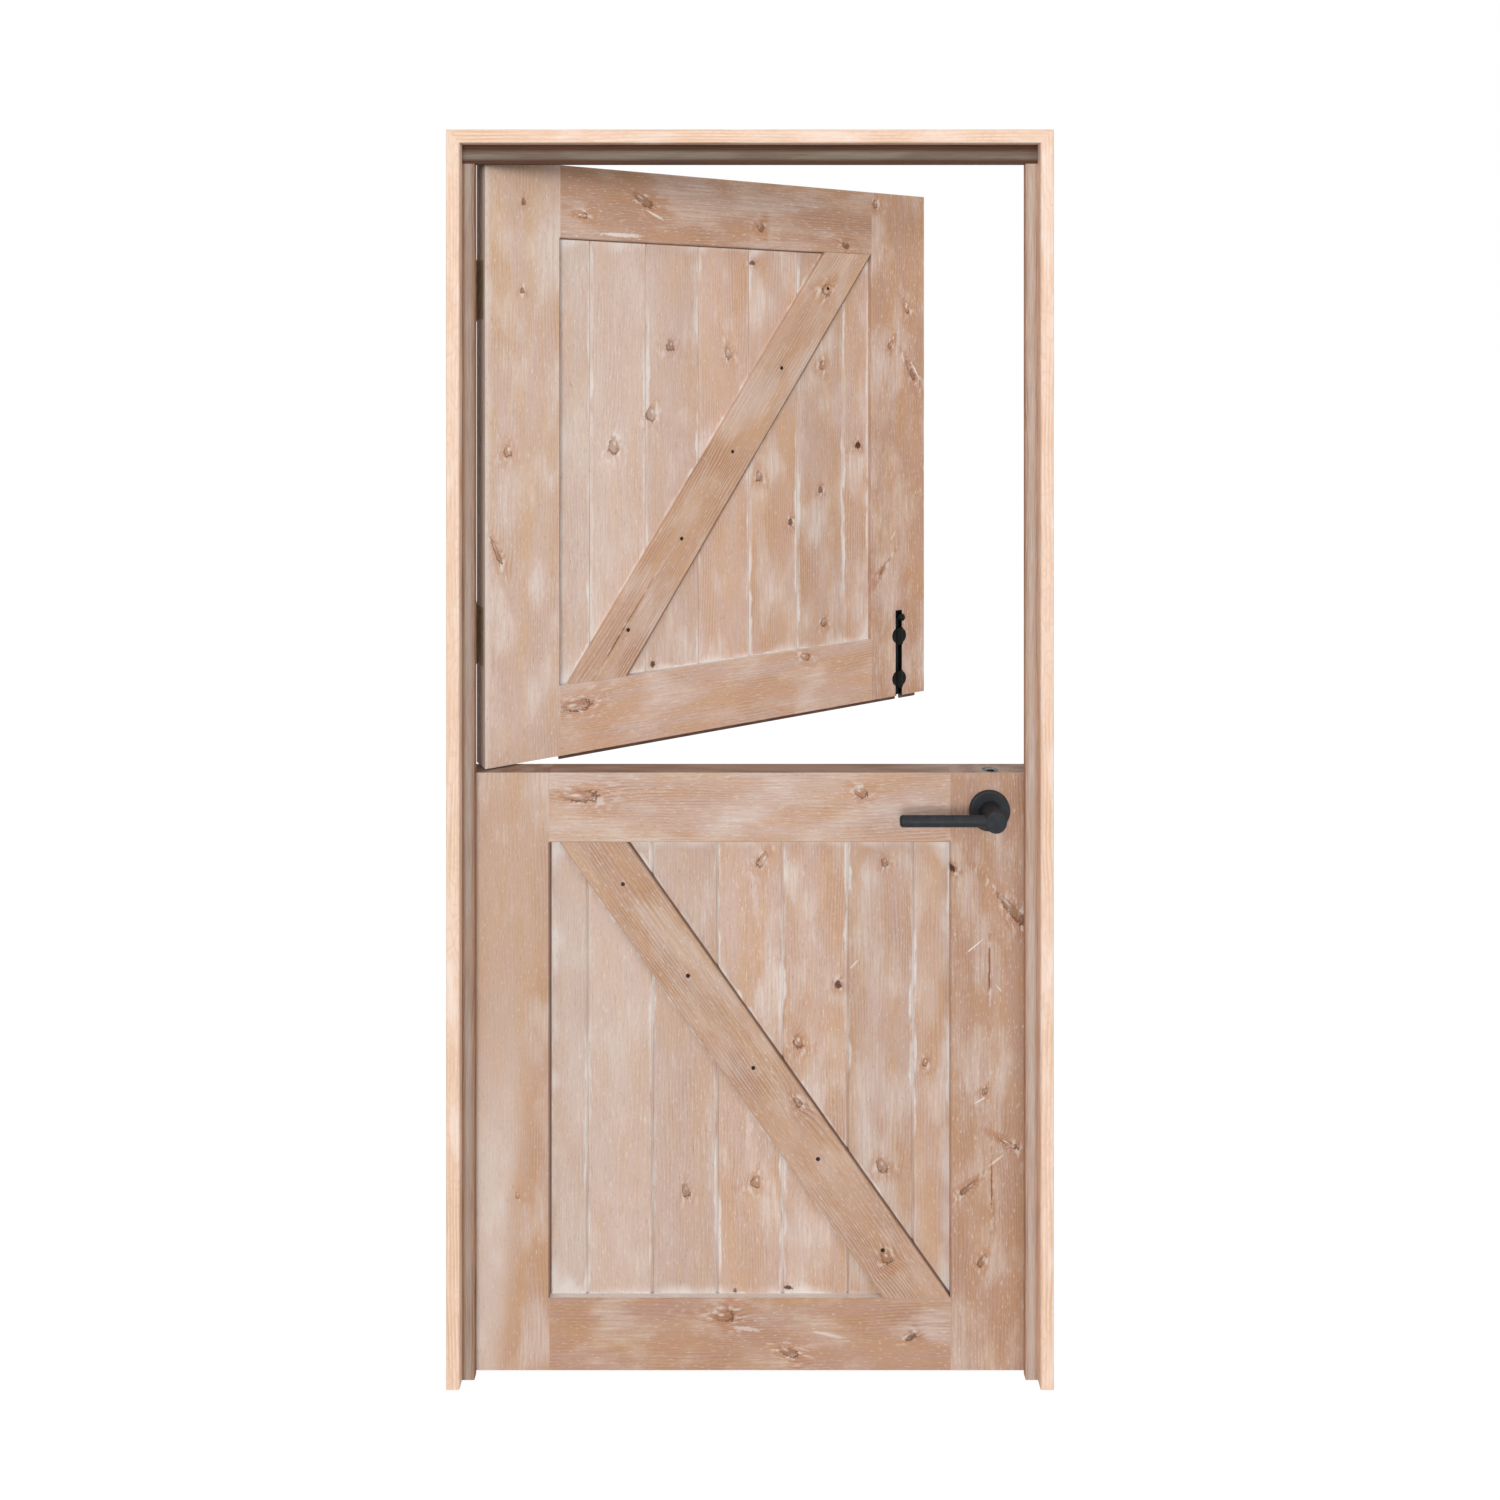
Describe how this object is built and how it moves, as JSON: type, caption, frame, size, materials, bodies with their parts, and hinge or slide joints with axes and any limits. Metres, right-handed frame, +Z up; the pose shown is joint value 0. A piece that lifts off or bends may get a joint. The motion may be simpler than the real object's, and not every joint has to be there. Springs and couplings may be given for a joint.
{
  "type": "dutch stable door",
  "caption": "Stable door in its rebated frame: two boarded, braced leaves hung one above the other, the upper standing ajar, with lever latch and slide bolt.",
  "frame": {"origin": "on the floor, midway between the jambs, in the plane of the jambs' front edges", "axes": "+Z up, +Y inwards, the way the leaves open, +X to the lock side"},
  "size_m": [1.002, 0.5907, 2.077],
  "materials": {
    "limed_wood": "limed, matt",
    "pale_pine": "raw planed, matt",
    "stained_pine": "thin grey-brown stain, matt",
    "black_coating": "matt black powder coat",
    "bronze_coating": "matt antique bronze powder coat",
    "dark_iron": "dark oxide",
    "steel": "zinc plated",
    "brown_rubber": "matt"
  },
  "bodies": {
    "frame": {"hinge_jamb": "stained_pine", "strike_jamb": "stained_pine", "head_jamb": "stained_pine", "hinge_casing": "pale_pine", "strike_casing": "pale_pine", "head_casing": "pale_pine", "corner_screws": "steel", "jamb_hinge_plate_1": "bronze_coating", "jamb_hinge_plate_2": "bronze_coating", "jamb_hinge_plate_3": "bronze_coating", "jamb_hinge_plate_4": "bronze_coating", "hinge_pins": "bronze_coating", "strike_plate": "black_coating", "jamb_plate_screws": "bronze_coating"},
    "upper_leaf": {"upper_hinge_stile": "limed_wood", "upper_lock_stile": "limed_wood", "upper_top_rail": "limed_wood", "upper_bottom_rail": "limed_wood", "upper_board_1": "limed_wood", "upper_board_2": "limed_wood", "upper_board_3": "limed_wood", "upper_board_4": "limed_wood", "upper_board_5": "limed_wood", "upper_board_6": "limed_wood", "upper_board_7": "limed_wood", "upper_brace": "limed_wood", "upper_brace_nails": "dark_iron", "upper_hinge_plate_low": "bronze_coating", "upper_hinge_plate_high": "bronze_coating", "upper_plate_screws": "bronze_coating", "bolt_body": "black_coating", "meeting_seal": "brown_rubber"},
    "bolt": {"bolt_rod": "black_coating", "bolt_knob": "black_coating"},
    "lower_leaf": {"lower_hinge_stile": "limed_wood", "lower_lock_stile": "limed_wood", "lower_top_rail": "limed_wood", "lower_bottom_rail": "limed_wood", "lower_board_1": "limed_wood", "lower_board_2": "limed_wood", "lower_board_3": "limed_wood", "lower_board_4": "limed_wood", "lower_board_5": "limed_wood", "lower_board_6": "limed_wood", "lower_board_7": "limed_wood", "lower_brace": "limed_wood", "lower_brace_nails": "dark_iron", "lower_hinge_plate_low": "bronze_coating", "lower_hinge_plate_high": "bronze_coating", "lower_plate_screws": "bronze_coating", "bolt_keeper": "black_coating", "outer_rose": "black_coating", "inner_rose": "black_coating", "latch_case": "steel"},
    "lever": {"outer_lever": "black_coating", "inner_lever": "black_coating", "spindle": "steel"},
    "latch": {"latch_bolt": "steel"}
  },
  "joints": [
    {"name": "upper_leaf_hinge", "type": "hinge", "parent": "frame", "child": "upper_leaf", "pos_m": [-0.4725, 0.065, 1.0085], "axis": [0, 0, 1], "range_deg": [-31, 79], "deforming": ["meeting_seal"]},
    {"name": "lower_leaf_hinge", "type": "hinge", "parent": "frame", "child": "lower_leaf", "pos_m": [-0.4725, 0.065, 0.004], "axis": [0, 0, 1], "range_deg": [0, 110]},
    {"name": "bolt_slide", "type": "slide", "parent": "upper_leaf", "child": "bolt", "axis": [0, 0, -1], "range_m": [0, 0.014]},
    {"name": "lever_turn", "type": "hinge", "parent": "lower_leaf", "child": "lever", "pos_m": [0.401, 0.03725, 0.943], "axis": [0, -1, 0], "range_deg": [0, 45], "stiffness_Nm_per_rad": 1.5, "springref_deg": -28.65},
    {"name": "latch_slide", "type": "slide", "parent": "lower_leaf", "child": "latch", "axis": [-1, 0, 0], "range_m": [0, 0.0127]}
  ],
  "couplings": [
    {"joint": "latch_slide", "follows": "lever_turn", "m_per_rad": 0.0159}
  ]
}
